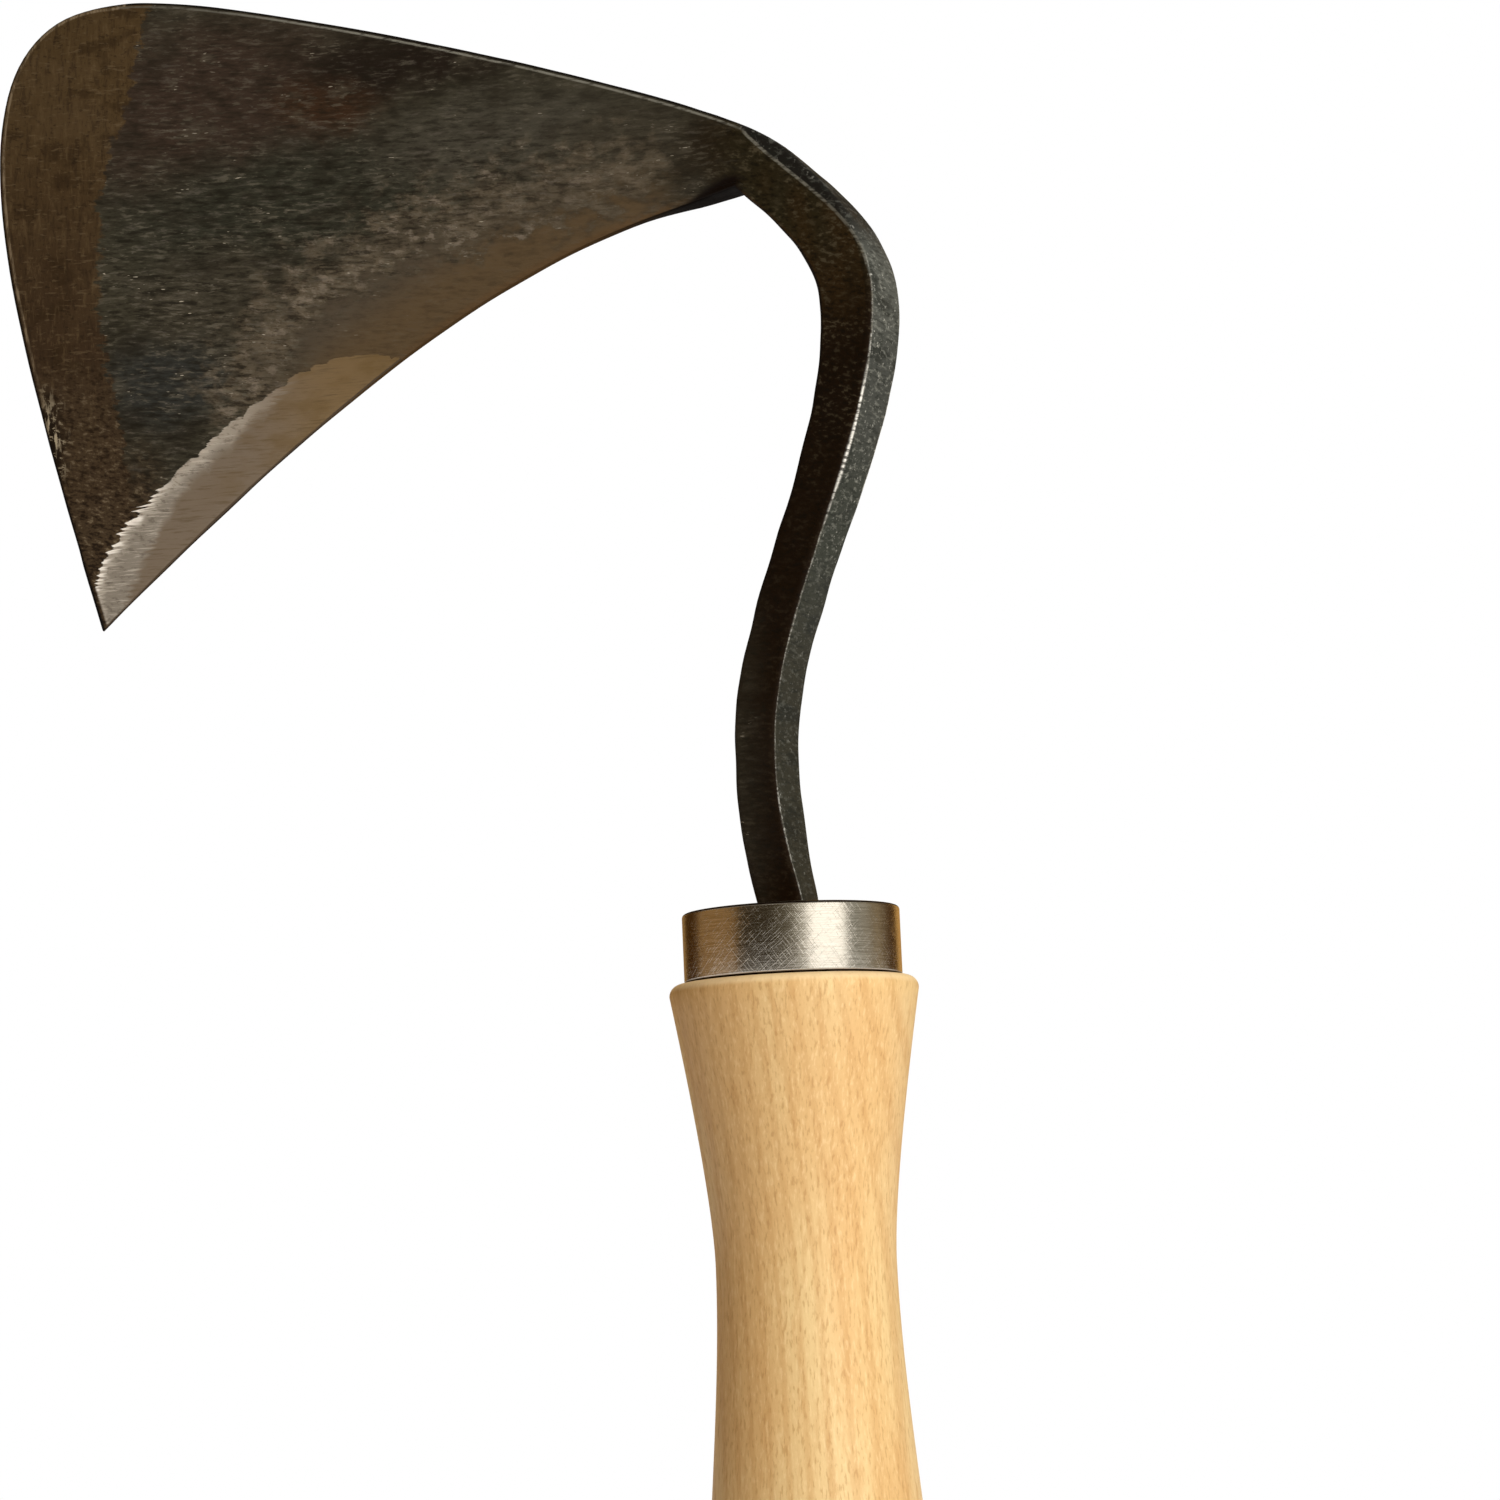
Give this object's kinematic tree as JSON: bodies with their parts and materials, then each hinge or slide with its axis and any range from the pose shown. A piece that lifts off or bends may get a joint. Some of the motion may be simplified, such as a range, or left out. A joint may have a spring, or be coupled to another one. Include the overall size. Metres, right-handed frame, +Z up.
{
  "type": "homi hand hoe",
  "caption": "Forged homi hand hoe: a curled wing-shaped blade on a bent square neck, a steel ferrule and a turned wooden handle.",
  "frame": {"origin": "middle of the grip, on the handle's axis, half way between the butt and the shoulder under the ferrule", "axes": "+Z up the handle's axis to the blade, -X toward the blade's tip, -Y the side that the blade's hollow face looks to"},
  "size_m": [0.1271, 0.032, 0.273],
  "materials": {
    "forged_steel": "forge scale, satin, with a ground bright bevel",
    "ferrule_steel": "finely brushed along the band",
    "turned_wood": "sanded pale hardwood, thin oil"
  },
  "bodies": {
    "root": {"forged_head": "forged_steel", "ferrule": "ferrule_steel", "handle": "turned_wood"}
  },
  "joints": []
}
